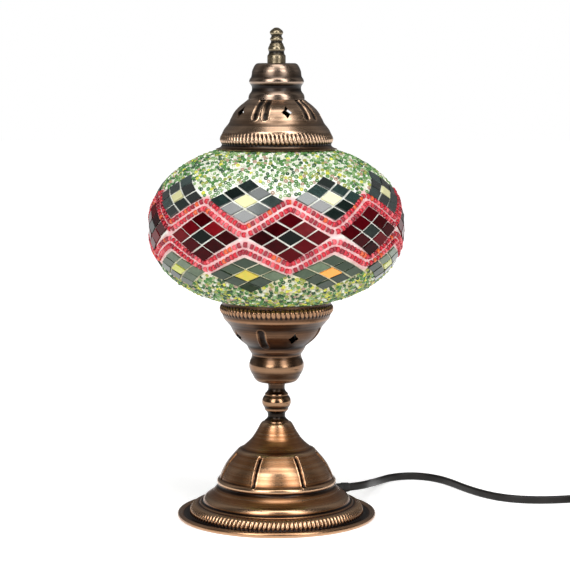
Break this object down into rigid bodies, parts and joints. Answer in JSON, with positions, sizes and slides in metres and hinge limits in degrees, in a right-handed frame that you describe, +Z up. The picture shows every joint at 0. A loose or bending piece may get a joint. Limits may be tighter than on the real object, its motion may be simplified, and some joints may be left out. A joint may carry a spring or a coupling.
{
  "type": "mosaic glass table lamp",
  "caption": "Table lamp with a glass mosaic globe on a spun copper base, pierced metal cap with finial, screw-in bulb, flat cord with inline rocker switch and plug.",
  "frame": {"origin": "centre of the base's resting face on the table", "axes": "+Z up along the stem; -Y is the front, the cord leaves towards +X"},
  "size_m": [0.3949, 0.2504, 0.345],
  "materials": {
    "antique_copper": "antique copper, brushed, dark patina in recesses",
    "dark_bronze": "antique bronze, dark patina",
    "cast_iron": "raw",
    "felt": "felt",
    "zinc_steel": "zinc plated",
    "spring_brass": "bare",
    "porcelain": "glazed ceramic",
    "black_plastic": "fine moulded",
    "black_rubber": "matt",
    "opal_glass": "opal",
    "clear_glass": "clear",
    "tungsten": "bare",
    "bulb_metal": "bright",
    "grout_white": "plaster grout",
    "glass_red": "glossy cut glass",
    "glass_dark_green": "glossy cut glass",
    "glass_grey_green": "glossy cut glass",
    "glass_cream": "glossy cut glass",
    "glass_amber": "glossy cut glass",
    "bead_red": "glossy seed beads",
    "bead_green": "glossy seed beads",
    "cord_black": "PVC sheath",
    "plug_brass": "nickel plated"
  },
  "bodies": {
    "lamp": {"base_shell": "antique_copper", "weight_plate": "cast_iron", "felt_pad": "felt", "base_washer": "zinc_steel", "base_nut": "zinc_steel", "cord_grommet": "black_rubber", "lamp_tube": "zinc_steel", "stem": "dark_bronze", "socket_cup": "dark_bronze", "gallery_bowl": "antique_copper", "gallery_springs": "spring_brass", "gallery_locknut": "zinc_steel", "socket_base": "black_plastic", "socket_insulator": "porcelain", "terminal_screws": "spring_brass", "socket_screw_shell": "spring_brass", "socket_centre_contact": "spring_brass", "socket_sleeve": "black_plastic", "inner_lead": "cord_black", "cord_tube": "cord_black", "cord_coil": "cord_black", "cord_tail": "cord_black", "cord_end": "cord_black", "switch_case_bottom": "black_plastic", "switch_case_top": "black_plastic", "switch_screws": "zinc_steel", "switch_contacts": "spring_brass", "plug_body": "black_plastic", "plug_pins": "plug_brass"},
    "globe": {"globe_glass": "opal_glass", "grout_bed": "grout_white", "tiles_red": "glass_red", "centre_tiles_dark": "glass_dark_green", "tiles_green_upper": "glass_dark_green", "centre_tiles_cream": "glass_cream", "tiles_green_lower": "glass_grey_green", "centre_tiles_amber": "glass_amber", "bead_band_upper": "bead_red", "bead_band_lower": "bead_red", "bead_field_top": "bead_green", "bead_field_bottom": "bead_green"},
    "cap": {"cap_bell": "antique_copper", "crown_cup": "dark_bronze", "finial": "dark_bronze", "cap_stud": "zinc_steel", "cap_nut": "zinc_steel", "cap_spring_legs": "spring_brass"},
    "bulb_seat": {"bulb_contact": "bulb_metal"},
    "bulb": {"bulb_base_insulator": "black_plastic", "bulb_screw_cap": "bulb_metal", "bulb_glass": "clear_glass", "bulb_stem": "clear_glass", "bulb_filament": "tungsten"},
    "rocker": {"switch_rocker": "black_plastic"}
  },
  "joints": [
    {"name": "globe_lift", "type": "slide", "parent": "lamp", "child": "globe", "axis": [0, 0, 1], "range_m": [0, 0.11]},
    {"name": "cap_lift", "type": "slide", "parent": "globe", "child": "cap", "axis": [0, 0, 1], "range_m": [0, 0.06]},
    {"name": "bulb_rise", "type": "slide", "parent": "lamp", "child": "bulb_seat", "axis": [0, 0, 1], "range_m": [0, 0.0159]},
    {"name": "bulb_turn", "type": "hinge", "parent": "bulb_seat", "child": "bulb", "pos_m": [0, 0, 0.14], "axis": [0, 0, 1], "range_deg": [0, 2016]},
    {"name": "rocker_tilt", "type": "hinge", "parent": "lamp", "child": "rocker", "pos_m": [0.292, -0.046, 0.0128], "axis": [1, 0, 0], "range_deg": [-16, 0]}
  ],
  "couplings": [
    {"joint": "bulb_rise", "follows": "bulb_turn", "m_per_rad": 0.00044913}
  ]
}
